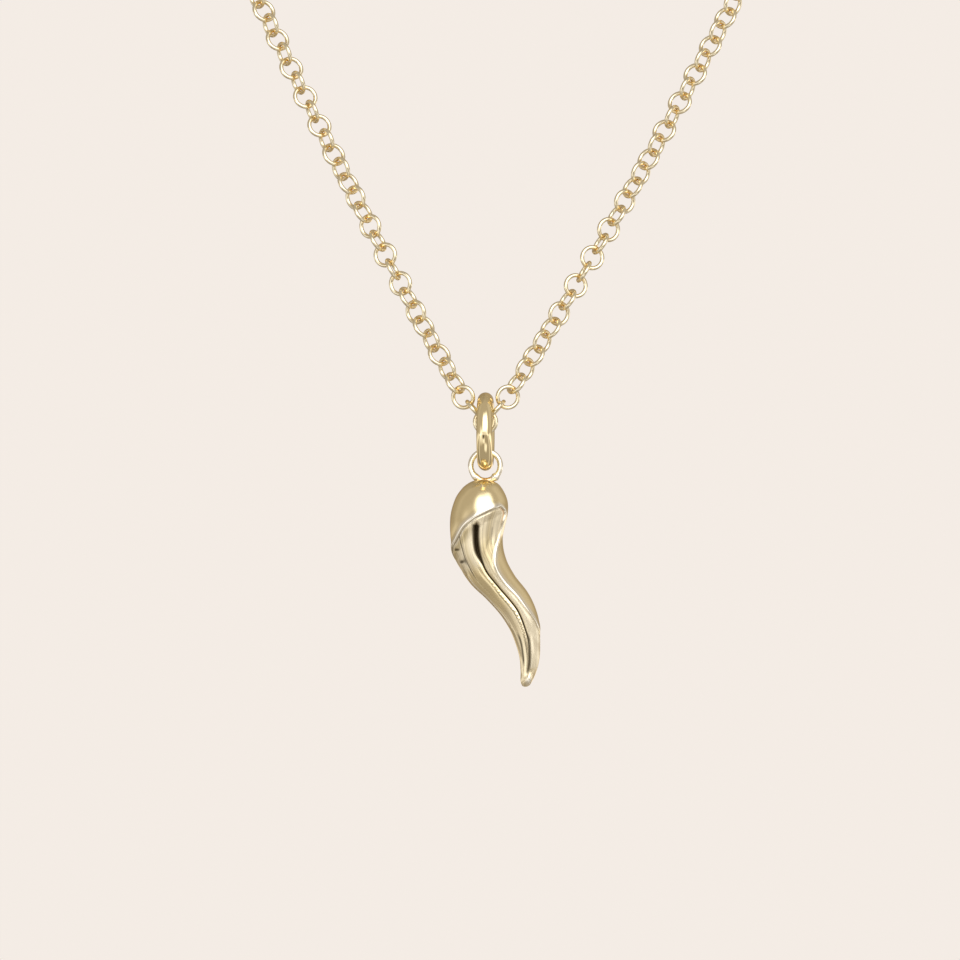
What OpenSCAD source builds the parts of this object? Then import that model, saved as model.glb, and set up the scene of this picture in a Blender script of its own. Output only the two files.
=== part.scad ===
// Horn pendant on a fine cable chain, hanging as it is worn.
// Millimetres, +Z up. The origin is at the nape, in the middle of the clasp, and the wearer faces -Y.

/* [Horn] */
// Length of the horn from the top of its head to its tip
horn_l = 20.7; // [16:0.1:26]
// Width of the horn's head
horn_w = 5.62; // [4.6:0.02:7]
// Sideways reach of the horn's bends
horn_sway = 5.3; // [3:0.1:7]
// Depth from the smooth skin to the fluted core
skin_t = 0.25; // [0.1:0.01:0.4]
// Depth of the flutes in the core
flute_depth = 0.34; // [0.1:0.01:0.5]
// Number of flutes round the core
flute_count = 9; // [7:1:11]
// Width over which the skin's edge falls to the core
edge_w = 0.3; // [0.2:0.01:0.5]

/* [Horn loop] */
// Room in the loop beside the bail ring's wire
loop_room = 0.83; // [0.4:0.01:1.2]
// Wire of the loop
loop_wire = 0.55; // [0.4:0.01:0.8]
// How deep the loop is soldered into the head
loop_sink = 0.38; // [0.3:0.01:0.5]

/* [Bail ring] */
// Outer diameter of the bail ring
bail_od = 7.85; // [7:0.05:10]
// Wire of the bail ring
bail_wire = 1.57; // [1.3:0.01:1.8]
// Turn of the bail ring out of the side view
bail_yaw = 2.5; // [0:0.5:4]

/* [Chain] */
// Outer diameter of a link
link_od = 2.5; // [2.2:0.05:3]
// Wire of a link
link_wire = 0.35; // [0.26:0.01:0.42]
// Gap between the metal of two pieces that hang in each other
hang_gap = 0.135; // [0.1:0.005:0.16]
// Room that the links beside the bail ring's wire have over that gap
side_room = 0.08; // [0.04:0.01:0.2]

/* [Neck] */
// Width of the chain's loop round the neck
neck_w = 98; // [80:1:120]
// Depth of the loop from the nape to the front
neck_d = 92.5; // [75:0.5:115]
// How far the chain's lowest link hangs below the nape
drop = 110; // [90:1:130]
// How far the pendant hangs to one side of the nape
lean = 3; // [0:0.1:6]

/* [Clasp] */
// Outer diameter of the clasp's ring
clasp_od = 5; // [4:0.1:6]
// Wire of the clasp's ring
clasp_wire = 1.1; // [0.8:0.05:1.3]
// Outer diameter of the clasp's eye
eye_od = 2.2; // [2:0.05:2.6]
// Wire of the clasp's eye
eye_wire = 0.5; // [0.4:0.02:0.6]
// Outer diameter of the ring that the clasp takes
end_ring_od = 3.2; // [2.8:0.1:4]
// Wire of the ring that the clasp takes
end_ring_wire = 0.5; // [0.4:0.02:0.6]

/* [Hidden] */
GOLD = [0.86, 0.74, 0.47];
FULL_TURN = 360;

// Sides of a true circle
ROUND = 48;
// Rings and sides of the horn's surface
HORN_RINGS = 44;
FACETS_PER_FLUTE = 6;
// The horn's rounded ends, as a share of its length, and the rings in each
END_SHARE = 0.05;
END_RINGS = 5;

// Horn sections, from the head down. DOWN is a share of horn_l, SIDE of horn_sway and WIDE of horn_w.
DOWN = 0;
SIDE = 1;
WIDE = 2;
HORN = [
    [0.000, 0.004, 0.000],
    [0.012, 0.000, 0.430],
    [0.032, -0.010, 0.620],
    [0.062, -0.029, 0.797],
    [0.100, -0.055, 0.926],
    [0.145, -0.094, 0.986],
    [0.200, -0.146, 0.988],
    [0.280, -0.165, 0.930],
    [0.360, -0.121, 0.895],
    [0.440, 0.018, 0.820],
    [0.520, 0.260, 0.694],
    [0.600, 0.520, 0.660],
    [0.680, 0.687, 0.596],
    [0.760, 0.773, 0.495],
    [0.850, 0.830, 0.407],
    [0.930, 0.805, 0.302],
    [0.980, 0.745, 0.181],
    [1.000, 0.720, 0.000]
];

// Where the skin leaves the core bare. DOWN is a share of horn_l, and the core shows from the angle LEFT to
// the angle RIGHT, in degrees from the front. LEFT runs on round the back, so the two meet at the right.
LEFT = 1;
RIGHT = 2;
EDGE = [
    [0.110, 45, 45],
    [0.128, 26, 60],
    [0.170, 1, 61],
    [0.230, -28, 61],
    [0.290, -54, 56],
    [0.325, -88, 49],
    [0.370, -114, 40],
    [0.430, -134, 26],
    [0.500, -157, 19],
    [0.580, -191, 22],
    [0.640, -216, 28],
    [0.700, -241, 47],
    [0.740, -259, 66],
    [0.770, -272, 92],
    [0.810, -300, 125],
    [1.000, -380, 200]
];
// Angle of the flute that runs down the front
FRONT_FLUTE = -2;
// How sharp the valleys between the flutes are: 1 is a sine, and less is sharper
FLUTE_POWER = 0.75;

// The strand's chosen points, from the front up and round to the nape: two curves of four points that share
// the third row. OUT is a share of half neck_w, BACK of neck_d and UP of drop. Each strand starts at its
// third link and ends at its last.
OUT = 0;
BACK = 1;
UP = 2;
ROUTE = [
    [0.50, 0.10, 0.36],
    [0.96, 0.20, 0.82],
    [1.00, 0.56, 0.945],
    [1.02, 0.80, 1.00],
    [0.62, 1.00, 1.00]
];
CURVE_STEPS = 150;

// Slow twist of the chain, in degrees, by the number of links from the lowest
TWIST = [[0, 0], [1, 0], [4, 45], [6, 45], [11, 0], [22, 45], [36, 0], [60, 40], [90, 0]];

// Distance between the middles of two rings that hang in each other
function hooked(od_a, wire_a, od_b, wire_b) = od_a / 2 - wire_a + od_b / 2 - wire_b - hang_gap;

pitch = hooked(link_od, link_wire, link_od, link_wire);

// Bail ring and loop, measured from the middle of the lowest link
hang_r = link_od / 2 + hang_gap + bail_wire / 2;
bail_r = (bail_od - bail_wire) / 2;
bail_z = hang_r - bail_r;
loop_id = bail_wire + loop_room;
loop_od = loop_id + 2 * loop_wire;
loop_z = bail_z - bail_r + bail_wire / 2 + hang_gap - loop_id / 2;
head_z = loop_z - loop_od / 2 + loop_sink;

// Clasp, measured along the nape from the middle of its ring
SOLDER_LAP = 0.2;
eye_x = clasp_od / 2 + eye_od / 2 - SOLDER_LAP;
left_end_x = eye_x + hooked(eye_od, eye_wire, link_od, link_wire);
end_ring_x = hooked(clasp_od, clasp_wire, end_ring_od, end_ring_wire);
right_end_x = end_ring_x + hooked(end_ring_od, end_ring_wire, link_od, link_wire);

lowest = [-lean, -neck_d, -drop];
// The first two links of each strand rise straight from the lowest, and the second clears the bail ring's wire
side_r = hang_r + side_room;
rise = asin((hang_r * hang_r + 4 * pitch * pitch - side_r * side_r) / (4 * hang_r * pitch));

function unit(v) = v / norm(v);

// Strand of one side: -1 is left and 1 is right
function first_steps(side, k) = lowest + k * pitch * [side * cos(rise), 0, sin(rise)];
function route_point(side, row) = [
    side * row[OUT] * neck_w / 2 - lean * (1 - row[UP]),
    neck_d * (row[BACK] - 1),
    drop * (row[UP] - 1)
];
function strand_end(side) = side < 0 ? [-left_end_x, 0, 0] : [right_end_x, 0, 0];
function bezier(p, t) =
    pow(1 - t, 3) * p[0] + 3 * pow(1 - t, 2) * t * p[1] + 3 * (1 - t) * t * t * p[2] + pow(t, 3) * p[3];
function strand_curve(side) =
    let (p = [for (row = ROUTE) route_point(side, row)])
    let (lower = [first_steps(side, 2), p[0], p[1], p[2]])
    let (upper = [p[2], p[3], p[4], strand_end(side)])
    concat(
        [for (i = [0 : CURVE_STEPS - 1]) bezier(lower, i / CURVE_STEPS)],
        [for (i = [0 : CURVE_STEPS]) bezier(upper, i / CURVE_STEPS)]
    );
// Distance from the start of a curve to each of its points
function runs(c) = [for (i = 0, s = 0; i < len(c); i = i + 1, s = i < len(c) ? s + norm(c[i] - c[i - 1]) : s) s];
function column(c, s, axis) = [for (i = [0 : len(c) - 1]) [s[i], c[i][axis]]];

// Middles of the links of one side, from the lowest link, and one step past the last
function strand_links(side, count) =
    let (c = strand_curve(side))
    let (s = runs(c))
    let (x = column(c, s, 0))
    let (y = column(c, s, 1))
    let (z = column(c, s, 2))
    let (step = s[len(s) - 1] / (count - 2))
    concat(
        [for (k = [0 : 1]) first_steps(side, k)],
        [for (k = [2 : count]) let (d = (k - 2) * step) [lookup(d, x), lookup(d, y), lookup(d, z)]],
        [strand_end(side) - [side * pitch, 0, 0]]
    );
function strand_length(side) = let (s = runs(strand_curve(side))) s[len(s) - 1];

// An odd number of links on the left and one more on the right lets the clasp lie flat on the nape
left_count = 2 * ceil((strand_length(-1) / pitch + 1) / 2) + 1;
right_count = left_count + 1;

// The way along the chain at a link, which is level at the lowest one
function along(links, k, side) = k == 0 ? [side, 0, 0] : unit(links[k + 1] - links[k - 1]);
// A link's plane holds that way and turns a quarter from link to link
function link_axis(links, k, side) =
    let (t = along(links, k, side))
    let (away = [links[k][0], links[k][1] + neck_d / 2, 0])
    let (across = unit(cross(t, away)))
    let (out = cross(across, t))
    let (turn = 90 * k + side * lookup(k, TWIST))
    out * cos(turn) + across * sin(turn);

module ring(od, wire) {
    rotate_extrude($fn = ROUND)
        translate([(od - wire) / 2, 0])
            circle(d = wire, $fn = ROUND);
}

// Puts the children at a point, with their X along t and their Z along the axis n
module stand(p, t, n) {
    m = cross(n, t);
    multmatrix([
        [t[0], m[0], n[0], p[0]],
        [t[1], m[1], n[1], p[1]],
        [t[2], m[2], n[2], p[2]],
        [0, 0, 0, 1]
    ])
        children();
}

module strand(side, first, count) {
    links = strand_links(side, count);
    for (k = [first : count])
        stand(links[k], along(links, k, side), link_axis(links, k, side))
            ring(link_od, link_wire);
}

module chain_left() {
    color(GOLD)
        strand(-1, 1, left_count);
}

module chain_right() {
    color(GOLD)
        strand(1, 0, right_count);
}

module bail_ring() {
    color(GOLD)
        translate(lowest + [0, 0, bail_z])
            rotate([0, 0, -bail_yaw])
                rotate([0, 90, 0])
                    ring(bail_od, bail_wire);
}

module clasp() {
    color(GOLD)
        rotate([90, 0, 0]) {
            ring(clasp_od, clasp_wire);
            translate([-eye_x, 0, 0])
                ring(eye_od, eye_wire);
        }
}

module end_ring() {
    color(GOLD)
        translate([end_ring_x, 0, 0])
            ring(end_ring_od, end_ring_wire);
}

// Smooth curve through a table's column: the value at x, where column 0 rises
function slope(t, col, i) =
    let (a = max(i - 1, 0))
    let (b = min(i + 1, len(t) - 1))
    (t[b][col] - t[a][col]) / (t[b][0] - t[a][0]);
function row_at(t, x, i = 0) = i >= len(t) - 2 || x < t[i + 1][0] ? i : row_at(t, x, i + 1);
function smooth_at(t, col, x) =
    let (i = row_at(t, x))
    let (h = t[i + 1][0] - t[i][0])
    let (u = (x - t[i][0]) / h)
    (1 + 2 * u) * pow(1 - u, 2) * t[i][col] + u * pow(1 - u, 2) * h * slope(t, col, i)
    + u * u * (3 - 2 * u) * t[i + 1][col] + u * u * (u - 1) * h * slope(t, col, i + 1);

// The horn's middle line and radius. The radius runs smoothly in its square, which rounds the ends.
WIDE_SQUARED = [for (row = HORN) [row[DOWN], row[WIDE] * row[WIDE]]];
function wide_at(d) = sqrt(max(smooth_at(WIDE_SQUARED, 1, d), 0));
function middle_at(d) = [smooth_at(HORN, SIDE, d) * horn_sway, 0, -d * horn_l];
STEP = 0.004;
function way_at(d) = unit(middle_at(d + STEP) - middle_at(d - STEP));

// How far inside the bare stretch a point of the surface lies, in mm, and negative under the skin
function angle_in(d, a, r, col) =
    let (gap = col == LEFT ? a - smooth_at(EDGE, LEFT, d) : smooth_at(EDGE, RIGHT, d) - a)
    let (i = row_at(EDGE, d))
    let (drift = (EDGE[i + 1][col] - EDGE[i][col]) / (EDGE[i + 1][0] - EDGE[i][0]) / horn_l)
    let (lean_in = r * drift * PI / 180)
    r * gap * PI / 180 / sqrt(1 + lean_in * lean_in);
function bare(d, a, r) = min(angle_in(d, a, r, LEFT), angle_in(d, a, r, RIGHT));
function bare_round(d, a, r) = d < EDGE[0][0] ? -1 : max(bare(d, a, r), bare(d, a - FULL_TURN, r));
function fall(x) = let (u = min(max(x, 0), 1)) u * u * (3 - 2 * u);
function flute(a) = pow(abs(sin(flute_count * (a - FRONT_FLUTE) / 2)), FLUTE_POWER);
function horn_r(d, a) =
    let (w = wide_at(d))
    let (r = w * horn_w / 2)
    r - fall(bare_round(d, a, r) / edge_w) * w * (skin_t + flute_depth * (1 - flute(a)));

// Places of the rings: close together at the rounded ends and even between them
RING_SHARES = concat(
    [for (i = [1 : END_RINGS]) END_SHARE * pow(i / END_RINGS, 2)],
    [for (i = [1 : HORN_RINGS]) END_SHARE + (1 - 2 * END_SHARE) * i / HORN_RINGS],
    [for (i = [1 : END_RINGS - 1]) 1 - END_SHARE * pow(1 - i / END_RINGS, 2)]
);

// Outer surface of the horn with the top of its head at the origin. Angle 0 faces the front.
module horn_body() {
    sides = FACETS_PER_FLUTE * flute_count;
    rings = len(RING_SHARES);
    points = [
        for (d = RING_SHARES)
            let (m = middle_at(d))
            let (w = way_at(d))
            let (right = [-w[2], 0, w[0]])
            for (j = [0 : sides - 1])
                let (a = FRONT_FLUTE + FULL_TURN * (j / sides - 0.5))
                m + horn_r(d, a) * (right * sin(a) + [0, -cos(a), 0])
    ];
    top = rings * sides;
    walls = [
        for (i = [0 : rings - 2])
            for (j = [0 : sides - 1])
                let (a = i * sides + j)
                let (b = i * sides + (j + 1) % sides)
                for (f = [[a, b + sides, a + sides], [a, b, b + sides]]) f
    ];
    head = [for (j = [0 : sides - 1]) [(j + 1) % sides, j, top]];
    tip = [for (j = [0 : sides - 1]) [top - sides + j, top - sides + (j + 1) % sides, top + 1]];
    polyhedron(concat(points, [middle_at(0), middle_at(1)]), concat(walls, head, tip));
}

module horn() {
    color(GOLD)
        translate(lowest) {
            translate([0, 0, head_z])
                horn_body();
            translate([0, 0, loop_z])
                rotate([90, 0, 0])
                    ring(loop_od, loop_wire);
        }
}

horn();
bail_ring();
chain_left();
chain_right();
clasp();
end_ring();
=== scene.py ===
"""Looks of the horn pendant on its cable chain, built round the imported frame.

Shapes are worked out in millimetres and written to the meshes in metres.
Angles of the light are seen from the object: 0 is towards the camera and positive is towards +X.
"""

import math

import bpy
import numpy as np
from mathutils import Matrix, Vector


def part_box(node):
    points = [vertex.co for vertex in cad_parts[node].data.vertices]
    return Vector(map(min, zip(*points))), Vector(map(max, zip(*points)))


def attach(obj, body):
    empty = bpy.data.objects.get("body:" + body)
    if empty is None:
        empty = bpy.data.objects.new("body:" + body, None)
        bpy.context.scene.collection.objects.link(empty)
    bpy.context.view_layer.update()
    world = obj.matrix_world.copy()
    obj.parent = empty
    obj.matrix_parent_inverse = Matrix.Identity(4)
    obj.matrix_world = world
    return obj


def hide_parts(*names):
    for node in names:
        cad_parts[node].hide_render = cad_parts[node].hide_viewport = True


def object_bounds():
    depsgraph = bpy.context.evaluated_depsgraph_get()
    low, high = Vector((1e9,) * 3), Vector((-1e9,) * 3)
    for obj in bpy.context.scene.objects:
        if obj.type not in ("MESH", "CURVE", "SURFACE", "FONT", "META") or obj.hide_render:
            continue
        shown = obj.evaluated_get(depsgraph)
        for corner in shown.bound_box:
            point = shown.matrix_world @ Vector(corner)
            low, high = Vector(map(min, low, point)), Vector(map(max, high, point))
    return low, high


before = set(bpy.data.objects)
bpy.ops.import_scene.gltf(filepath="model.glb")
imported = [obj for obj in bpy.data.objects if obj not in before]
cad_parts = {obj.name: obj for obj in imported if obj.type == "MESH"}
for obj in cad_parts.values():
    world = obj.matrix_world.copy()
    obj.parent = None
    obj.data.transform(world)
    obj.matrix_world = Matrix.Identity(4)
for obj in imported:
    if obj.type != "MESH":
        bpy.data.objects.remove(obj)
cad_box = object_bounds()

MM = 0.001

# Sizes that the frame's solids have, in millimetres
HORN_L = 20.7
HORN_W = 5.62
HORN_SWAY = 5.3
SKIN_T = 0.25
FLUTE_DEPTH = 0.34
FLUTES = 9
FRONT_FLUTE = -2.0
FLUTE_POWER = 0.45
LOOP_OD = 3.5
LOOP_WIRE = 0.55
LOOP_SINK = 0.38
BAIL_OD = 7.85
BAIL_WIRE = 1.57
BAIL_YAW = math.radians(2.5)
LINK_OD = 2.5
CLASP_OD = 5.0
CLASP_WIRE = 1.1
EYE_OD = 2.2
EYE_WIRE = 0.5
SOLDER_LAP = 0.2
END_OD = 3.2
END_WIRE = 0.5

# Horn sections: share of the length, side bend as a share of the sway, width as a share of the head's
HORN = np.array([
    [0.000, 0.004, 0.000], [0.012, 0.000, 0.430], [0.032, -0.010, 0.620], [0.062, -0.029, 0.797],
    [0.100, -0.055, 0.926], [0.145, -0.094, 0.986], [0.200, -0.146, 0.988], [0.280, -0.165, 0.930],
    [0.360, -0.121, 0.895], [0.440, 0.018, 0.820], [0.520, 0.260, 0.694], [0.600, 0.520, 0.660],
    [0.680, 0.687, 0.596], [0.760, 0.773, 0.495], [0.850, 0.830, 0.407], [0.930, 0.805, 0.302],
    [0.980, 0.745, 0.181], [1.000, 0.720, 0.000],
])
# The bare core's two sides: share of the length, left and right angle from the front in degrees
EDGE = np.array([
    [0.110, 45, 45], [0.128, 26, 60], [0.170, 1, 61], [0.230, -28, 61], [0.290, -54, 56],
    [0.325, -88, 49], [0.370, -114, 40], [0.430, -134, 26], [0.500, -157, 19], [0.580, -191, 22],
    [0.640, -216, 28], [0.700, -241, 47], [0.740, -259, 66], [0.770, -272, 92], [0.810, -300, 125],
    [1.000, -380, 200],
])


def smooth_at(table, column, x):
    """Smooth curve through a table's column, at the places x."""
    xs, ys = table[:, 0], table[:, column]
    n = len(xs)
    before = np.maximum(np.arange(n) - 1, 0)
    after = np.minimum(np.arange(n) + 1, n - 1)
    slope = (ys[after] - ys[before]) / (xs[after] - xs[before])
    i = np.clip(np.searchsorted(xs, x, side="right") - 1, 0, n - 2)
    h = xs[i + 1] - xs[i]
    u = (x - xs[i]) / h
    return (
        (1 + 2 * u) * (1 - u) ** 2 * ys[i]
        + u * (1 - u) ** 2 * h * slope[i]
        + u * u * (3 - 2 * u) * ys[i + 1]
        + u * u * (u - 1) * h * slope[i + 1]
    )


def rise(x, low=0, width=1):
    """From 0 at low smoothly to 1, over the width."""
    u = np.clip((x - low) / width, 0, 1)
    return u * u * (3 - 2 * u)


def climb(x, height, low, width):
    return height * rise(x, low, width)


def bump(x, width):
    return np.exp(-((x / width) ** 2))


def hill(x, height, at, width):
    return height * bump(x - at, width)


def between(x, low, high, rising, dropping):
    """1 between low and high, rising after low and dropping after high over the widths given."""
    return rise(x, low, rising) * (1 - rise(x, high, dropping))


def mesh_piece(name, points, faces, body, material, painted=None):
    """A smooth mesh from points in millimetres, riding on a body, with what is painted on its points."""
    mesh = bpy.data.meshes.new(name)
    mesh.vertices.add(len(points))
    mesh.vertices.foreach_set("co", (np.asarray(points, float) * MM).astype(np.float32).ravel())
    sizes = np.array([len(f) for f in faces])
    mesh.loops.add(int(sizes.sum()))
    mesh.loops.foreach_set("vertex_index", np.concatenate(faces).astype(np.int32))
    mesh.polygons.add(len(sizes))
    mesh.polygons.foreach_set("loop_start", (np.cumsum(sizes) - sizes).astype(np.int32))
    mesh.polygons.foreach_set("use_smooth", np.ones(len(sizes), bool))
    mesh.update(calc_edges=True)
    mesh.validate()
    for key, values in (painted or {}).items():
        attribute = mesh.attributes.new(key, "FLOAT", "POINT")
        attribute.data.foreach_set("value", np.asarray(values, np.float32).ravel())
    mesh.materials.append(material)
    obj = bpy.data.objects.new(name, mesh)
    bpy.context.scene.collection.objects.link(obj)
    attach(obj, body)
    return obj


def grid_faces(rows, columns, first=0, closed=True):
    """Quads of a grid whose columns run round, and whose rows do too where it is closed."""
    i = np.arange(rows if closed else rows - 1)[:, None]
    j = np.arange(columns)[None, :]
    k = (i + 1) % rows
    m = (j + 1) % columns
    quads = np.stack(
        np.broadcast_arrays(i * columns + j, k * columns + j, k * columns + m, i * columns + m), -1
    )
    return quads.reshape(-1, 4) + first


def ring_points(centre, u, v, n, od, wire, turns, sides, swell=None):
    """Points of a wire ring about a centre, in the plane of u and v, with n its axis.
    swell, if given, is a factor on the wire's radius for each step round the ring."""
    t = np.linspace(0, 2 * np.pi, turns, endpoint=False)[:, None, None]
    s = np.linspace(0, 2 * np.pi, sides, endpoint=False)[None, :, None]
    r = wire / 2 * (1 if swell is None else np.asarray(swell)[:, None, None])
    out = np.cos(t) * u + np.sin(t) * v
    return centre + out * (od - wire) / 2 + r * (np.cos(s) * out + np.sin(s) * np.asarray(n))


def steps_round(turns):
    """Angle of each step round a ring, in degrees."""
    return np.degrees(np.linspace(0, 2 * np.pi, turns, endpoint=False))


def rings_piece(name, rings, body, material, replaces=None, painted=None):
    """One piece from several closed wire rings of points."""
    points, faces, first = [], [], 0
    for p in rings:
        rows, columns = p.shape[:2]
        points.append(p.reshape(-1, 3))
        faces.append(grid_faces(rows, columns, first))
        first += rows * columns
    obj = mesh_piece(name, np.concatenate(points), np.concatenate(faces), body, material, painted)
    if replaces:
        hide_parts(replaces)


# Materials

# Painted shade, painted warm shade at the chain's joints, solder with painted shade, painted highlight, the
# metal's tint at grazing angles, and painted warm reflection
PAINTED_SHADE_COLOUR = (0.040, 0.025, 0.007, 1)
JOINT_SHADE_COLOUR = (0.93, 0.69, 0.31, 1)
SOLDER_AND_SHADE_COLOUR = (0.62, 0.36, 0.12, 1)
PAINTED_HIGHLIGHT = (0.98, 0.94, 0.80, 1)
GRAZING = (1.0, 0.88, 0.68, 1)
PAINTED_WARM_REFLECTION = (0.98, 0.62, 0.36, 1)
# The drift of the tint and the wear in the polish: scale and detail of their noise, and the wear's range
TINT_SCALE = 260
TINT_DETAIL = 3
WEAR_DETAIL = 5
WEAR_LOW = 0.3
WEAR_HIGH = 0.7
# The wear's own relief, with its height in metres
RIPPLE_STRENGTH = 0.05
RIPPLE_HEIGHT = 0.00004
# Roughness that the painted satin adds
SATIN = 0.20
# Painted shadow and painted highlight lines beside the skin's edge: from and to in millimetres inside the
# core, soft edge and strength
PAINTED_SHADOW_LINE = (0.045, 0.085, 0.018, 0.70)
PAINTED_HIGHLIGHT_LINE = (0.12, 0.19, 0.03, 0.90)


def feed(tree, source, socket):
    """Gives a socket a number or a colour, or links another socket to it."""
    if isinstance(source, (int, float, tuple)):
        socket.default_value = source
    else:
        tree.links.new(source, socket)


def calc(tree, operation, *inputs):
    node = tree.nodes.new("ShaderNodeMath")
    node.operation = operation
    for source, socket in zip(inputs, node.inputs):
        feed(tree, source, socket)
    return node.outputs[0]


def soft_step(tree, x, low, high):
    node = tree.nodes.new("ShaderNodeMapRange")
    node.interpolation_type = "SMOOTHSTEP"
    feed(tree, x, node.inputs["Value"])
    node.inputs["From Min"].default_value = low
    node.inputs["From Max"].default_value = high
    return node.outputs["Result"]


def window(tree, x, low, high, soft):
    """1 between low and high, fading over the soft edge on both sides of each."""
    rising = soft_step(tree, x, low - soft, low + soft)
    dropping = soft_step(tree, x, high - soft, high + soft)
    return calc(tree, "MULTIPLY", rising, calc(tree, "SUBTRACT", 1.0, dropping))


def noise(tree, place, scale, detail):
    node = tree.nodes.new("ShaderNodeTexNoise")
    node.inputs["Scale"].default_value = scale
    node.inputs["Detail"].default_value = detail
    tree.links.new(place, node.inputs["Vector"])
    return node.outputs["Fac"]


def blend_colour(tree, factor, first, second):
    """Colour that goes from first to second with the factor. First may be a socket or a colour."""
    node = tree.nodes.new("ShaderNodeMix")
    node.data_type = "RGBA"
    tree.links.new(factor, node.inputs["Factor"])
    feed(tree, first, node.inputs["A"])
    feed(tree, second, node.inputs["B"])
    return node.outputs["Result"]


def painted_on(tree, key):
    node = tree.nodes.new("ShaderNodeAttribute")
    node.attribute_name = key
    return node.outputs["Fac"]


def gold(name, tints, rough, wear_scale, shade_colour=PAINTED_SHADE_COLOUR):
    """Polished gold: two tints that drift, soft wear in the polish, and the painted shade, painted highlight
    and painted warm reflection that are laid on the points.
    """
    material = bpy.data.materials.new(name)
    material.use_nodes = True
    tree = material.node_tree
    nodes, links = tree.nodes, tree.links
    shader = nodes["Principled BSDF"]
    shader.inputs["Metallic"].default_value = 1.0
    shader.inputs["Specular Tint"].default_value = GRAZING
    place = nodes.new("ShaderNodeTexCoord").outputs["Object"]

    tint = blend_colour(tree, noise(tree, place, TINT_SCALE, TINT_DETAIL), *tints)
    inside, rim = painted_on(tree, "inside"), painted_on(tree, "rim")
    # Painted shadow and painted highlight lines beside the skin's edge, weighted by the rim paint
    shadow_line, highlight_line = (
        calc(tree, "MULTIPLY", window(tree, inside, low, high, soft), calc(tree, "MULTIPLY", rim, strength))
        for low, high, soft, strength in (PAINTED_SHADOW_LINE, PAINTED_HIGHLIGHT_LINE)
    )
    # Painted highlight: the pale paint and the highlight line, blended towards a paler gold
    edge = calc(tree, "MAXIMUM", painted_on(tree, "edge"), highlight_line)
    highlighted = blend_colour(tree, edge, tint, PAINTED_HIGHLIGHT)
    # Painted warm reflection in the core's top right corner
    glow = blend_colour(tree, painted_on(tree, "painted_warm_reflection"), highlighted, PAINTED_WARM_REFLECTION)
    # Painted shade: the shade paint and the painted shadow line, blended towards the shade colour
    shade = calc(tree, "MAXIMUM", painted_on(tree, "shade"), shadow_line)
    links.new(blend_colour(tree, shade, glow, shade_colour), shader.inputs["Base Color"])

    wear = noise(tree, place, wear_scale, WEAR_DETAIL)
    spread = nodes.new("ShaderNodeMapRange")
    spread.inputs["From Min"].default_value = WEAR_LOW
    spread.inputs["From Max"].default_value = WEAR_HIGH
    spread.inputs["To Min"].default_value = rough[0]
    spread.inputs["To Max"].default_value = rough[1]
    links.new(wear, spread.inputs["Value"])
    satin = calc(tree, "MULTIPLY_ADD", painted_on(tree, "satin"), SATIN, spread.outputs["Result"])
    links.new(satin, shader.inputs["Roughness"])

    ripple = nodes.new("ShaderNodeBump")
    ripple.inputs["Strength"].default_value = RIPPLE_STRENGTH
    ripple.inputs["Distance"].default_value = RIPPLE_HEIGHT
    links.new(wear, ripple.inputs["Height"])
    links.new(ripple.outputs["Normal"], shader.inputs["Normal"])
    return material


# Each finish: its two tints, least and most roughness, the scale of its wear and the colour its painted shade
# blends to
YELLOW_TINTS = ((0.93, 0.815, 0.505, 1), (0.95, 0.790, 0.450, 1))
# The loop's tints are paler than the horn's: a painted highlight over the whole loop
HIGHLIGHTED_LOOP_TINTS = ((0.96, 0.925, 0.790, 1), (0.96, 0.900, 0.720, 1))
CHAIN_TINTS = ((0.89, 0.825, 0.610, 1), (0.89, 0.785, 0.530, 1))
GOLD_HORN = gold("horn_gold", YELLOW_TINTS, (0.16, 0.22), 700)
GOLD_LOOP = gold("loop_gold", HIGHLIGHTED_LOOP_TINTS, (0.18, 0.26), 900, SOLDER_AND_SHADE_COLOUR)
GOLD_RING = gold("ring_gold", YELLOW_TINTS, (0.07, 0.11), 900)
GOLD_CHAIN = gold("chain_gold", CHAIN_TINTS, (0.14, 0.21), 1500, JOINT_SHADE_COLOUR)

# Places of the solids, from the frame, in millimetres
horn_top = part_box("horn")[1].z / MM
bail_lo, bail_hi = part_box("bail_ring")
BAIL_AT = np.array((bail_lo + bail_hi) / 2) / MM
LOOP_AT = np.array([BAIL_AT[0], BAIL_AT[1], horn_top - LOOP_OD / 2])
HEAD_AT = LOOP_AT - [0, 0, LOOP_OD / 2 - LOOP_SINK]
X, Y, Z = np.eye(3)

# Horn. Places along it are shares of its length, angles round it are degrees from the front,
# positive to the right, and other measures are millimetres. A stretch along it is given by where it begins
# and where it ends, and over how much it rises and drops there.

ROWS = 350
# The rows are closer together over this share of the length at each end
END_SHARE = 0.05
END_ROWS = 24
# How far on each side the horn's direction is averaged, so that rows never fold on the inside of a bend
STEP = 0.015
# The widths are smoothed as squares, which rounds the ends
WIDE_SQUARED = np.stack([HORN[:, 0], HORN[:, 2] ** 2], 1)
# Columns in each stretch between two valleys, from the back's left round the front to the back's right
STRETCHES = [8, 17, 26, 42, 42, 42, 42, 26, 17, 8]
COLUMNS = sum(STRETCHES)
PER_FLUTE = 360 / FLUTES
# The flutes wind a little to the right: degrees, place and width of each turn
WIND_BEND = (2.2, 0.405, 0.035)
WIND_BELOW = (3, 0.58, 0.06)
WIND_TIP = (6, 0.775, 0.045)
# Places along the core's edges, how far along the horn they are looked at, and the most that is measured
EDGE_PLACES = np.linspace(EDGE[0, 0], EDGE[-1, 0], 500)
EDGE_REACH = 0.1
FAR = 2.0


def middle_at(share):
    return np.stack([smooth_at(HORN, 1, share) * HORN_SWAY, 0 * share, -share * HORN_L], -1)


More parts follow.
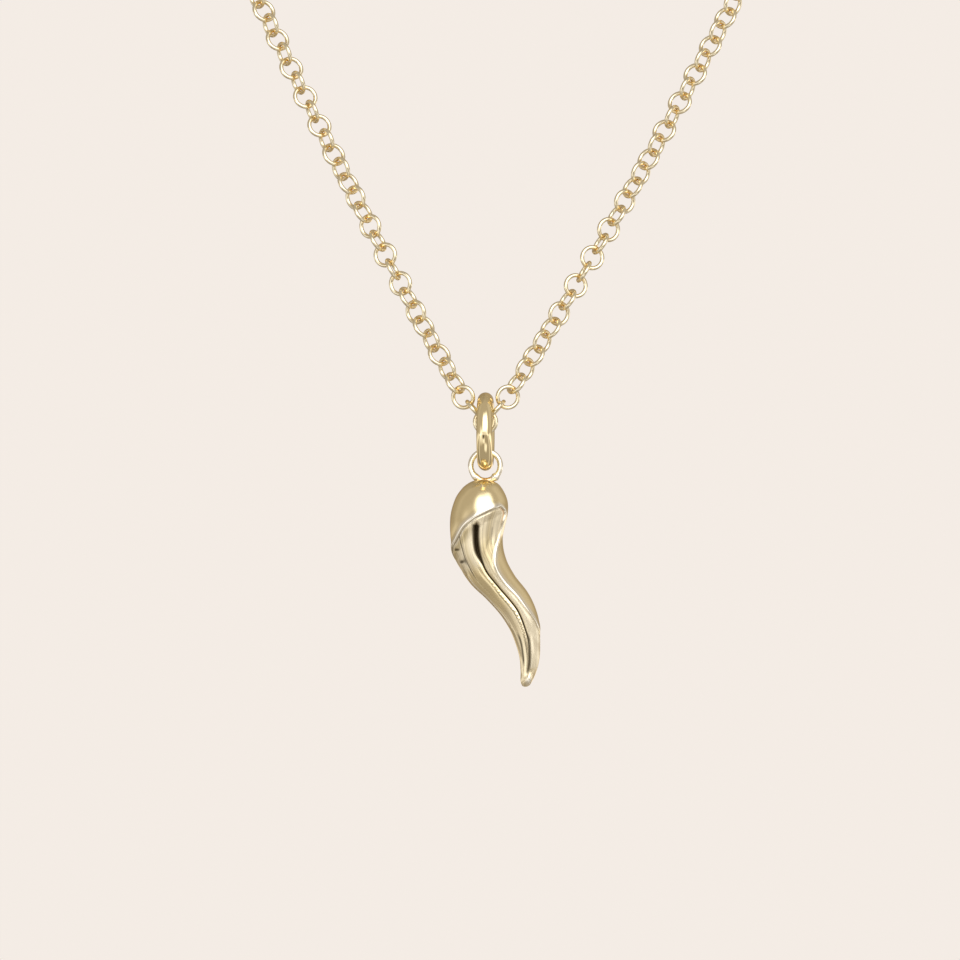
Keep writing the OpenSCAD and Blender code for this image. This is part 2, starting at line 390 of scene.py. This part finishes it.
def from_edge(share, angles, r, column):
    """Distance over the surface of one row's points from an edge of the bare core."""
    at = EDGE_PLACES[np.abs(EDGE_PLACES - share) < EDGE_REACH]
    if len(at) < 2:
        return np.full(len(angles), FAR)
    curve = np.stack([np.radians(smooth_at(EDGE, column, at)) * r, at * HORN_L], 1)
    step = np.diff(curve, axis=0)
    points = np.stack([np.radians(angles) * r, np.full(len(angles), share * HORN_L)], 1)
    off = points[:, None] - curve[:-1]
    along = np.clip((off * step).sum(-1) / (step ** 2).sum(-1), 0, 1)
    return np.minimum(np.linalg.norm(off - along[..., None] * step, axis=-1).min(1), FAR)


def row_inside(share, angles, r):
    """Distance of one row's points inside the bare core, negative on the skin, and whether the core's left
    edge is the nearer one."""
    left, right = (smooth_at(EDGE, column, share) for column in (1, 2))
    signed, left_nearer = [], []
    # The edges lead round the back, so each point is also looked for a turn further to the left
    for turned in (angles, angles - 360):
        to_left, to_right = (from_edge(share, turned, r, column) for column in (1, 2))
        within = (share >= EDGE[0, 0]) & (turned > left) & (turned < right)
        signed.append(np.minimum(to_left, to_right) * np.where(within, 1, -1))
        left_nearer.append(to_left < to_right)
    first = signed[0] > signed[1]
    return np.where(first, *signed), np.where(first, *left_nearer)


# Of each point, d is its place along the horn, from_front its angle from the front valley and angle its own
close_rows = END_SHARE * (np.arange(1, END_ROWS + 1) / END_ROWS) ** 2
body_rows = ROWS - 2 * END_ROWS
shares = np.concatenate([
    close_rows,
    END_SHARE + (1 - 2 * END_SHARE) * np.arange(1, body_rows + 1) / body_rows,
    (1 - close_rows[::-1])[1:],
])
limits = np.concatenate([[-180], PER_FLUTE * (np.arange(FLUTES) - (FLUTES - 1) / 2), [180]])
from_front = np.concatenate([
    np.linspace(low, high, steps, endpoint=False) for low, high, steps in zip(limits, limits[1:], STRETCHES)
])[None, :]
d = shares[:, None]
angle = FRONT_FLUTE + hill(d, *WIND_BEND) + climb(d, *WIND_BELOW) + hill(d, *WIND_TIP) + from_front
wide = np.sqrt(np.maximum(smooth_at(WIDE_SQUARED, 1, d), 0))
radius = wide * HORN_W / 2
across = radius * np.sin(np.radians(angle))
facing = np.cos(np.radians(angle)) > 0
found_rows = [row_inside(share, angles, r) for share, angles, r in zip(shares, angle, radius[:, 0])]
inside, left_edge = (np.stack(part) for part in zip(*found_rows))
right_edge = ~left_edge
# The nearest valley, and the distance to it and to the front one
valley = np.round(from_front / PER_FLUTE).astype(int)
front_valley = valley == 0
to_valley = np.radians(from_front - valley * PER_FLUTE) * radius
to_front = np.radians(from_front) * radius


def spot(share, side, size, tall=1):
    """1 at a place on the front, given by its share and how far right it is, fading over the size."""
    return bump(np.hypot((d - share) * HORN_L / tall, across - side), size) * facing


def dab(share, at_angle, broad, tall):
    """1 at a place given by its share and its angle, fading round and along the horn."""
    round_by = np.radians(angle - at_angle) * radius
    return np.exp(-((round_by / broad) ** 2) - ((d - share) * HORN_L / tall) ** 2)


# The skin drops to the core over the fall, and its full thickness is reached over its thin margin:
# the share of the thickness that is missing at the edge, where it begins to grow and over how much
EDGE_FALL = 0.15
THIN_MARGIN = (0.75, 0.15, 0.9)
# The upper part of the core, with satin polish, painted shade and painted highlight, on the left and on the
# right: its end and over how much it fades
UPPER_END = (0.385, 0.42)
UPPER_FADE = (0.05, 0.12)
# Fine polishing lines there, as low relief and as painted shade: turns round the horn and phase of each wave
LINE_WAVES = ((29, 0.4), (41, 2.1), (57, 4.0), (73, 1.2))

on_core = rise(inside, 0, EDGE_FALL)
skin = SKIN_T * ((1 - THIN_MARGIN[0]) + climb(inside, *THIN_MARGIN))
wave = np.abs(np.sin(np.radians(FLUTES * from_front / 2))) ** FLUTE_POWER
on_left = from_front < 0
upper = on_core * (1 - rise(d, np.where(on_left, *UPPER_END), np.where(on_left, *UPPER_FADE)))
lines = sum(np.sin(np.radians(from_front) * turns + phase) for turns, phase in LINE_WAVES) / len(LINE_WAVES)

# How deep each valley is and how much shade is painted in it, from the front one round both ways, as the
# photograph shows them
VALLEY_DEPTH = {0: 1.0, 1: 0.5, -1: 0.4, -2: 0.4}
OTHER_DEPTH = 0.8
VALLEY_SHADE = {0: 0.90, 1: 0.28, -1: 0.30, -2: 0.1}
OTHER_SHADE = 0.3
VALLEY_LINE = 0.07
# Stretch of the front valley that is broad, with the depth and width that it adds
BROAD = (0.204, 0.33, 0.02, 0.10)
BROAD_DEEP = 0.14
BROAD_WIDE = 0.30
# Where each kind of valley begins, and how the side valleys soften below the bend and all of them at the tip
FRONT_START = (0.195, 0.03)
SIDE_START = (0.24, 0.16)
SIDE_MARGIN = 0.7
SIDE_SOFT = (0.75, 0.46, 0.14)
TIP_SOFT = (0.85, 0.90, 0.06)

valley_depth = np.vectorize(lambda k: VALLEY_DEPTH.get(k, OTHER_DEPTH))(valley)
valley_shade = np.vectorize(lambda k: VALLEY_SHADE.get(k, OTHER_SHADE))(valley)
broad_part = between(d, *BROAD)
side_start = rise(inside, 0, SIDE_MARGIN) * rise(d, *SIDE_START)
strength = np.where(front_valley, rise(d, *FRONT_START), side_start)
strength = strength * np.where(front_valley, 1, 1 - climb(d, *SIDE_SOFT)) * (1 - climb(d, *TIP_SOFT))
depth = on_core * wide * (skin + FLUTE_DEPTH * (1 - wave) * valley_depth * strength)
depth += on_core * broad_part * BROAD_DEEP * bump(to_front, BROAD_WIDE)

# The skin's edge has a rounded lip over this stretch, bolder at its top right corner. Its inner side is
# broader low on the right, its outer side at the top, low on the right and on the left. Inside it is a fine
# crease on the left.
RIM = (0.085, 0.72, 0.02, 0.045)
CORNER_AT = 0.14
CORNER_LONG = 0.035
CORNER_BOLD = 0.5
RIGHT_LOW = (0.30, 0.08)
LIP_AT = -0.09
LIP_HIGH = 0.10
LIP_INNER = 0.11
LIP_INNER_LOW = (0.08, 0.40, 0.1)
LIP_OUTER = 0.24
LIP_OUTER_TOP = 0.14
LIP_TOP_END = (0.14, 0.06)
LIP_OUTER_RIGHT = 0.10
LIP_OUTER_LEFT = 0.06
CREASE = (0.035, 0.20, 0.07)
# The lip and the crease fade where the horn is narrower than this share of the head
LIP_LEAST = 0.35

rim_part = between(d, *RIM)
right_low = rise(d, *RIGHT_LOW) * right_edge
corner = bump(d - CORNER_AT, CORNER_LONG) * right_edge
lip_inner = LIP_INNER + climb(d, *LIP_INNER_LOW) * right_edge
lip_outer = LIP_OUTER + LIP_OUTER_TOP * (1 - rise(d, *LIP_TOP_END))
lip_outer = lip_outer + LIP_OUTER_RIGHT * right_low + LIP_OUTER_LEFT * left_edge
lip_half = np.where(inside > LIP_AT, lip_inner, lip_outer)
lip = LIP_HIGH * (1 + CORNER_BOLD * corner) * bump(inside - LIP_AT, lip_half) * rim_part
crease = hill(inside, *CREASE) * (inside > 0) * left_edge * rim_part

# Low relief: a drop of solder under the loop, a bead at the tip, and the casting's marks in a side valley
DROP = (0.030, -0.25, 0.16)
DROP_HIGH = 0.07
BEAD = (0.967, 0.25, 0.32, 1.8)
BEAD_HIGH = 0.27
MARKS = ((1.5, 0.325, -61, 0.44, 0.09), (1.4, 0.370, -57, 0.36, 0.11), (0.7, 0.372, -44, 0.18, 0.40))
MARKS_MOST = 0.85
MARKS_DEEP = 0.05
# A fine ridge runs beside the left outline at the bend
LEFT_RIDGE = (0.41, 0.66, 0.03, 0.05)
LEFT_RIDGE_ANGLE = -60
LEFT_RIDGE_WIDE = 0.12
LEFT_RIDGE_HIGH = 0.07
# The bright ridge left of the front valley is uneven, as if hammered. Each wave is its pace in radians to the
# millimetre, how much that sways and the pace of the sway.
HAMMERED = (0.44, 0.74, 0.05, 0.05)
HAMMERED_AT = -0.28
HAMMERED_WIDE = 0.14
HAMMERED_HIGH = 0.005
HAMMER_WAVES = ((11, 2, 2.3), (19, 3, 1.7))
# Height of the polishing lines
LINES_HIGH = 0.003

drop = spot(*DROP)
bead = spot(*BEAD)
marks = np.minimum(sum(dark * dab(*place) for dark, *place in MARKS), MARKS_MOST)
to_ridge = np.radians(from_front - LEFT_RIDGE_ANGLE) * radius
left_ridge = bump(to_ridge, LEFT_RIDGE_WIDE) * between(d, *LEFT_RIDGE)
down = d * HORN_L
uneven = sum(np.sin(fast * down + sway * np.sin(slow * down)) for fast, sway, slow in HAMMER_WAVES)
hammered = uneven * bump(to_front - HAMMERED_AT, HAMMERED_WIDE) * between(d, *HAMMERED)
relief = (lip - crease) * rise(wide, 0, LIP_LEAST) + DROP_HIGH * drop + BEAD_HIGH * bead - MARKS_DEEP * marks
relief += LINES_HIGH * lines * upper + HAMMERED_HIGH * hammered + LEFT_RIDGE_HIGH * left_ridge

reach = radius - depth + relief
way = middle_at(shares + STEP) - middle_at(shares - STEP)
way /= np.linalg.norm(way, axis=1)[:, None]
to_right = np.stack([-way[:, 2], 0 * shares, way[:, 0]], 1)[:, None, :]
turn = np.radians(angle)[..., None]
surface = middle_at(shares)[:, None, :] + reach[..., None] * (to_right * np.sin(turn) - Y * np.cos(turn))

# Painted shade and painted dark reflection in the front valley: its stretch, its strength and what that loses
# lower down, its half width with what the broad part and the tip add, and how squarely it ends at its sides
FRONT_DARK = (0.211, 0.91, 0.012, 0.04)
FRONT_STRONG = 0.95
FRONT_WEAKER = (0.2, 0.68, 0.06)
FRONT_HALF = 0.11
FRONT_HALF_BROAD = 0.34
FRONT_HALF_TIP = (0.07, 0.72, 0.06)
FRONT_SQUARE = 6
# Painted shade lines in other valleys: the valley, the strength, the half width and the stretch
DARK_LINES = (
    (-1, 0.90, 0.08, (0.25, 0.42, 0.03, 0.06)),
    (-2, 0.65, 0.10, (0.42, 0.66, 0.04, 0.05)),
    (1, 0.42, 0.14, (0.21, 0.32, 0.02, 0.05)),
    (-1, 0.90, 0.14, (0.72, 0.87, 0.04, 0.05)),
)
# A short painted shade line low on the right: the valley, the half width, and its strength, place and length
SHORT_VALLEY = 2
SHORT_HALF = 0.14
SHORT_LINE = (0.4, 0.90, 0.035)
# Painted shade on the upper core: the least, the polishing lines' part, a margin at the left edge, bands and
# a patch
UPPER_LEAST = 0.06
UPPER_LINES = 0.22
MARGIN = (0.25, 0.45, 0.25)
MARGIN_PART = (0.22, 0.36, 0.04, 0.06)
BANDS = ((0.15, -27, 6), (0.15, 31, 6))
PATCH = (0.36, 22, 0.9, 1.6)
PATCH_DARK = 0.38
# Painted shade and painted reflection of the loop, beside the loop's feet
LOOP_SHADE_SPOTS = ((0.008, -0.85, 0.42), (0.008, 0.55, 0.36))
LOOP_SHADE_DARK = 0.30
# The painted shade fades where the horn is narrower than this share of the head
SHADE_LEAST = 0.3

front_half = FRONT_HALF + FRONT_HALF_BROAD * broad_part + climb(d, *FRONT_HALF_TIP)
front_dark = (FRONT_STRONG - climb(d, *FRONT_WEAKER)) * between(d, *FRONT_DARK)
front_dark = front_dark * np.exp(-((to_front / front_half) ** FRONT_SQUARE))
dark_lines = [
    dark * (valley == k) * bump(to_valley, half) * between(d, *stretch)
    for k, dark, half, stretch in DARK_LINES
]
short_line = (valley == SHORT_VALLEY) * hill(d, *SHORT_LINE) * bump(to_valley, SHORT_HALF)
valley_lines = valley_shade * bump(to_valley, VALLEY_LINE) * strength
margin = hill(inside, *MARGIN) * left_edge * between(d, *MARGIN_PART)
bands = sum(hill(from_front, *band) for band in BANDS) + PATCH_DARK * dab(*PATCH)
streaks = upper * (UPPER_LEAST + UPPER_LINES * lines + bands + margin)
# Painted shade in the valleys, together with the casting marks' own dark colour
in_valleys = np.maximum.reduce([front_dark, valley_lines, short_line, marks, *dark_lines])
loop_shade = LOOP_SHADE_DARK * sum(spot(*place) for place in LOOP_SHADE_SPOTS)
shade = np.maximum.reduce([on_core * rise(wide, 0, SHADE_LEAST) * in_valleys, loop_shade, streaks])

# Painted highlight, laid on as paler metal: the lip, the solder, the tip's bead, the core's upper part, the
# flutes right of the front valley, the lower core, a strip of the skin at the head's right outline and the
# left ridge
LIP_PALE = 0.16
LIP_PALE_RIGHT = 0.16
LIP_PALE_LEFT = 0.14
RIGHT_FLUTE = (0, 75, 12, 20)
RIGHT_FLUTE_PART = (0.42, 0.90, 0.10, 0.03)
RIGHT_FLUTE_PALE = 0.55
RIGHT_FLUTE_SATIN = 0.8
LOW_CORE = (0.30, 0.55, 0.1)
STRIP = (0.7, 79, 13)
STRIP_PART = (0.12, 0.25, 0.05, 0.07)
UPPER_PALE = 0.45
UPPER_PALE_LOSS = 1.6
LEFT_RIDGE_PALE = 0.8
BEAD_SATIN = 0.6
# The corner's painted warm reflection. The strength of the fine painted shadow and highlight lines beside the
# right edge, and what it loses lower down
CORNER_REFLECTION = (0.12, 0.08)
RIGHT_RIM = 0.6
RIGHT_RIM_LOSS = (0.45, 0.45, 0.1)

right_flute = on_core * between(from_front, *RIGHT_FLUTE) * between(d, *RIGHT_FLUTE_PART)
pale_half = LIP_PALE + (LIP_PALE_RIGHT * right_low + LIP_PALE_LEFT * left_edge) * (inside < LIP_AT)
pale = [
    bump(inside - LIP_AT, pale_half) * rim_part,
    drop,
    bead,
    upper * np.clip(UPPER_PALE - UPPER_PALE_LOSS * (bands + margin), 0, 1),
    RIGHT_FLUTE_PALE * right_flute,
    on_core * climb(d, *LOW_CORE),
    hill(angle, *STRIP) * between(d, *STRIP_PART) * (inside < 0),
    LEFT_RIDGE_PALE * left_ridge,
]
# On the points: painted shade, painted highlight, satin roughness, painted warm reflection, and the distance
# and weight that place the painted lines
painted = {
    "shade": shade,
    "edge": np.maximum.reduce(pale),
    "satin": np.maximum.reduce([upper, RIGHT_FLUTE_SATIN * right_flute, left_ridge, BEAD_SATIN * bead]),
    "painted_warm_reflection": corner * bump(inside - CORNER_REFLECTION[0], CORNER_REFLECTION[1]) * on_core,
    "inside": inside,
    "rim": np.where(left_edge, 1, RIGHT_RIM - climb(d, *RIGHT_RIM_LOSS)) * rim_part,
}

# The grid is closed by a point at each end
count = surface.shape[0] * COLUMNS
tips = np.stack([middle_at(np.array(0.0)), middle_at(np.array(1.0))])
points = np.concatenate([surface.reshape(-1, 3), tips]) + HEAD_AT
j = np.arange(COLUMNS)
following = (j + 1) % COLUMNS
last = count - COLUMNS
horn_faces = list(grid_faces(surface.shape[0], COLUMNS, closed=False))
horn_faces += list(np.stack([0 * j + count, j, following], 1))
horn_faces += list(np.stack([0 * j + count + 1, last + following, last + j], 1))
paint = {key: np.append(tone.ravel(), [0, 0]) for key, tone in painted.items()}
horn = mesh_piece("horn_body", points, horn_faces, "horn", GOLD_HORN, paint)
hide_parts("horn")

# The loop swells into its solder at both feet: how much, at which angle and how widely
LOOP_TURNS = 120
LOOP_SIDES = 28
FEET = ((0.30, 230, 15), (0.50, 311, 11))
# The loop's bottom, where it meets the head, is darker: the solder's colour and painted shade. Its strength,
# angle and width
SOLDER_AND_SHADE = (0.7, 270, 24)

around = steps_round(LOOP_TURNS)
feet = sum(hill(around, *foot) for foot in FEET)
loop = ring_points(LOOP_AT, X, Z, -Y, LOOP_OD, LOOP_WIRE, LOOP_TURNS, LOOP_SIDES, 1 + feet)
solder_and_shade = np.repeat(hill(around, *SOLDER_AND_SHADE), LOOP_SIDES)
rings_piece("horn_loop", [loop], "horn", GOLD_LOOP, painted={"shade": solder_and_shade})

# Bail ring
BAIL_TURNS = 160
BAIL_SIDES = 56

outward = math.sin(BAIL_YAW) * X + math.cos(BAIL_YAW) * Y
axle = math.cos(BAIL_YAW) * X - math.sin(BAIL_YAW) * Y
bail = ring_points(BAIL_AT, outward, Z, axle, BAIL_OD, BAIL_WIRE, BAIL_TURNS, BAIL_SIDES)
rings_piece("bail_ring_fine", [bail], "bail", GOLD_RING, "bail_ring")


# Chain


def islands(mesh):
    """Middle and axis of each loose ring in a mesh, in millimetres."""
    mesh.calc_loop_triangles()
    tri = np.zeros(len(mesh.loop_triangles) * 3, np.int32)
    mesh.loop_triangles.foreach_get("vertices", tri)
    tri = tri.reshape(-1, 3)
    co = np.zeros(len(mesh.vertices) * 3, np.float32)
    mesh.vertices.foreach_get("co", co)
    co = co.reshape(-1, 3).astype(float) / MM
    label = np.arange(len(co))
    while True:
        low = label[tri].min(1)
        new = label.copy()
        for k in range(3):
            np.minimum.at(new, tri[:, k], low)
        new = new[new]
        if (new == label).all():
            break
        label = new
    names, group = np.unique(label[tri[:, 0]], return_inverse=True)
    p = co[tri]
    area = np.linalg.norm(np.cross(p[:, 1] - p[:, 0], p[:, 2] - p[:, 0]), axis=1)
    total = np.bincount(group, area)
    mid = p.mean(1)
    centre = np.stack([np.bincount(group, area * mid[:, k]) / total for k in range(3)], 1)
    off = mid - centre[group]
    spread = np.zeros((len(names), 3, 3))
    for i in range(3):
        for k in range(3):
            spread[:, i, k] = np.bincount(group, area * off[:, i] * off[:, k]) / total
    axis = np.linalg.eigh(spread)[1][:, :, 0]
    return centre, axis


LINK_TURNS = 40
LINK_SIDES = 20
# The links are a little fuller here than the solids, which leave more room between them
FULL_WIRE = 0.41
FULL_OD = LINK_OD + 0.03
# Painted shade and warm reflection where links hang in each other: how strong, and over how many degrees
# round the ring
JOINT_SHADE = 0.7
JOINT_WIDE = 26
# A link whose axis is this near to upright starts its ring from the side
UPRIGHT = 0.1
found = {node: islands(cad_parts[node].data) for node in ("chain_left", "chain_right")}
all_links = np.concatenate([centres for centres, _ in found.values()])


def chain_piece(node):
    """All the links of one node as one mesh, where its rings are, with painted warm shade where links hang in
    each other.
    """
    rings, joint_shades = [], []
    round_link = np.radians(steps_round(LINK_TURNS))[:, None]
    for c, n in zip(*found[node]):
        u = np.cross(n, Z)
        u = u / np.linalg.norm(u) if np.linalg.norm(u) > UPRIGHT else X
        v = np.cross(n, u)
        rings.append(ring_points(c, u, v, n, FULL_OD, FULL_WIRE, LINK_TURNS, LINK_SIDES))
        near = np.argsort(np.linalg.norm(all_links - c, axis=1))[1:3]
        out = np.cos(round_link) * u + np.sin(round_link) * v
        ways = (all_links[near] - c) / np.linalg.norm(all_links[near] - c, axis=1)[:, None]
        off = np.degrees(np.arccos(np.clip(out @ ways.T, -1, 1))).min(1)
        joint_shades.append(np.repeat(JOINT_SHADE * bump(off, JOINT_WIDE), LINK_SIDES))
    tones = {"shade": np.concatenate(joint_shades)}
    rings_piece(node + "_links", rings, "chain", GOLD_CHAIN, node, tones)


chain_piece("chain_left")
chain_piece("chain_right")

# Clasp, with two seams as grooves: their angles, width in degrees and depth as a share of the wire
CLASP_TURNS = 120
CLASP_SIDES = 40
SEAMS = (24, 156)
SEAM_WIDE = 2.2
SEAM_DEEP = 0.06
EYE_TURNS = 60
EYE_SIDES = 24

clasp_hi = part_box("clasp")[1] / MM
clasp_at = np.array([clasp_hi.x - CLASP_OD / 2, 0, 0])
eye_at = clasp_at - X * (CLASP_OD / 2 + EYE_OD / 2 - SOLDER_LAP)
grooves = 1 - SEAM_DEEP * sum(bump(steps_round(CLASP_TURNS) - seam, SEAM_WIDE) for seam in SEAMS)
clasp_rings = [
    ring_points(clasp_at, X, Z, -Y, CLASP_OD, CLASP_WIRE, CLASP_TURNS, CLASP_SIDES, grooves),
    ring_points(eye_at, X, Z, -Y, EYE_OD, EYE_WIRE, EYE_TURNS, EYE_SIDES),
]
rings_piece("clasp_fine", clasp_rings, "chain", GOLD_CHAIN, "clasp")

# End ring
END_TURNS = 72
END_SIDES = 24

end_lo, end_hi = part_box("end_ring")
end_at = np.array((end_lo + end_hi) / 2) / MM
end_ring = ring_points(end_at, X, Y, Z, END_OD, END_WIRE, END_TURNS, END_SIDES)
rings_piece("end_ring_fine", [end_ring], "chain", GOLD_CHAIN, "end_ring")

# Stage and camera

PALE = (0.905, 0.840, 0.783, 1)
VIEW_MIDDLE = Vector((-3.55, -92.5, -115.81)) * MM
VIEW_WIDE = 96 * MM
LENS = 600
SENSOR = 36
SEEN_TO = 100
# Backdrop and floor, in metres
BACKDROP_SIZE = 5.0
BACKDROP_COLUMNS = 48
BACKDROP_ROWS = 25
FLOOR_SIZE = 1.0
FLOOR_SIDES = 96
FLOOR_BACK = 0.05
FLOOR_DROP = 0.045


def stage_piece(name, points, faces):
    """A stage object of even pale colour that metal doesn't mirror."""
    mesh = bpy.data.meshes.new(name)
    mesh.from_pydata(points, [], faces)
    material = bpy.data.materials.new(name)
    material.use_nodes = True
    nodes, links = material.node_tree.nodes, material.node_tree.links
    nodes.clear()
    glow = nodes.new("ShaderNodeEmission")
    glow.inputs["Color"].default_value = PALE
    links.new(glow.outputs[0], nodes.new("ShaderNodeOutputMaterial").inputs["Surface"])
    mesh.materials.append(material)
    obj = bpy.data.objects.new(name, mesh)
    bpy.context.scene.collection.objects.link(obj)
    obj.visible_glossy = False
    obj.visible_diffuse = False
    obj.visible_shadow = False


u = np.radians(steps_round(BACKDROP_COLUMNS))
v = np.linspace(-np.pi / 2, np.pi / 2, BACKDROP_ROWS)[:, None]
dome = np.stack([np.cos(v) * np.cos(u), np.cos(v) * np.sin(u), np.sin(v) + 0 * u], -1)
dome_points = dome.reshape(-1, 3) * BACKDROP_SIZE + np.array(VIEW_MIDDLE)
dome_faces = grid_faces(BACKDROP_ROWS, BACKDROP_COLUMNS, closed=False)
stage_piece("backdrop", dome_points.tolist(), dome_faces.tolist())
floor_at = np.array([0, -FLOOR_BACK, cad_box[0].z - FLOOR_DROP])
u = np.radians(steps_round(FLOOR_SIDES))
floor_points = np.stack([np.cos(u), np.sin(u), 0 * u], -1) * FLOOR_SIZE + floor_at
stage_piece("floor", floor_points.tolist(), [list(range(FLOOR_SIDES))])

camera = bpy.data.objects.new("camera", bpy.data.cameras.new("camera"))
bpy.context.scene.collection.objects.link(camera)
camera.data.lens = LENS
camera.data.sensor_width = SENSOR
camera.data.clip_end = SEEN_TO
camera.location = VIEW_MIDDLE - Vector((0, VIEW_WIDE * LENS / SENSOR, 0))
camera.rotation_euler = (math.pi / 2, 0, 0)
bpy.context.scene.camera = camera
bpy.context.scene.view_settings.view_transform = "Standard"

# Light: a level that rises over some elevations, soft panels and a soft bright ring. Each panel is its left,
# right, low and high angle, its soft edge and the strength that it adds.
LEVEL_LOW = 0.42
LEVEL_HIGH = 0.50
LEVEL_RISE = (-25, 20)
PANELS = [
    (-20, 50, 4, 49, 14, 2.4),
    (-66, -28, -30, 9, 12, 0.62),
    (-150, -95, -20, 60, 12, 0.07),
    (88, 130, -25, 60, 12, 0.14),
    (-80, 80, -8.5, -5.5, 1.5, 0.60),
    (80, 200, -12, -3, 2.5, 0.85),
    (-200, -80, -12, -3, 2.5, 0.50),
    (-24, -4, -22, -10, 3, -0.42),
    (-26, 8, -34, -20, 5, 0.75),
    (4, 50, -58, -34, 6, 0.75),
    (112, 260, -70, 70, 14, -0.07),
    (-260, -112, -70, 70, 14, -0.14),
]
# The ring: azimuth and elevation of its middle, its radius and half width in degrees, soft edge and strength
RING_MIDDLE = (0, -62)
RING_ANGLE = 67
RING_HALF = 4
RING_SOFT = 4
RING_STRENGTH = 0.50
# The light is warm where it is dim and white where it is strong
DIM = 0.40
STRONG = 1.10
DIM_COLOUR = (1.0, 0.89, 0.78, 1)
STRONG_COLOUR = (1.0, 0.97, 0.98, 1)

world = bpy.data.worlds.new("studio")
bpy.context.scene.world = world
world.use_nodes = True
sky = world.node_tree
background = sky.nodes["Background"]

direction = sky.nodes.new("ShaderNodeTexCoord").outputs["Generated"]
split = sky.nodes.new("ShaderNodeSeparateXYZ")
sky.links.new(direction, split.inputs[0])
dx, dy, dz = split.outputs
azimuth = calc(sky, "DEGREES", calc(sky, "ARCTAN2", dx, calc(sky, "MULTIPLY", dy, -1.0)))
elevation = calc(sky, "DEGREES", calc(sky, "ARCSINE", dz))

level = calc(sky, "MULTIPLY", soft_step(sky, elevation, *LEVEL_RISE), LEVEL_HIGH - LEVEL_LOW)
light = calc(sky, "ADD", LEVEL_LOW, level)
for left, right, low, high, soft, added in PANELS:
    sideways = window(sky, azimuth, left, right, soft)
    panel = calc(sky, "MULTIPLY", sideways, window(sky, elevation, low, high, soft))
    light = calc(sky, "ADD", light, calc(sky, "MULTIPLY", panel, added))

ring_az, ring_el = (math.radians(x) for x in RING_MIDDLE)
toward = (math.sin(ring_az) * math.cos(ring_el), -math.cos(ring_az) * math.cos(ring_el), math.sin(ring_el))
dot = sky.nodes.new("ShaderNodeVectorMath")
dot.operation = "DOT_PRODUCT"
sky.links.new(direction, dot.inputs[0])
dot.inputs[1].default_value = toward
off_middle = calc(sky, "DEGREES", calc(sky, "ARCCOSINE", dot.outputs["Value"]))
ring = window(sky, off_middle, RING_ANGLE - RING_HALF, RING_ANGLE + RING_HALF, RING_SOFT)
light = calc(sky, "ADD", light, calc(sky, "MULTIPLY", ring, RING_STRENGTH))
sky.links.new(light, background.inputs["Strength"])
colour = blend_colour(sky, soft_step(sky, light, DIM, STRONG), DIM_COLOUR, STRONG_COLOUR)
sky.links.new(colour, background.inputs["Color"])
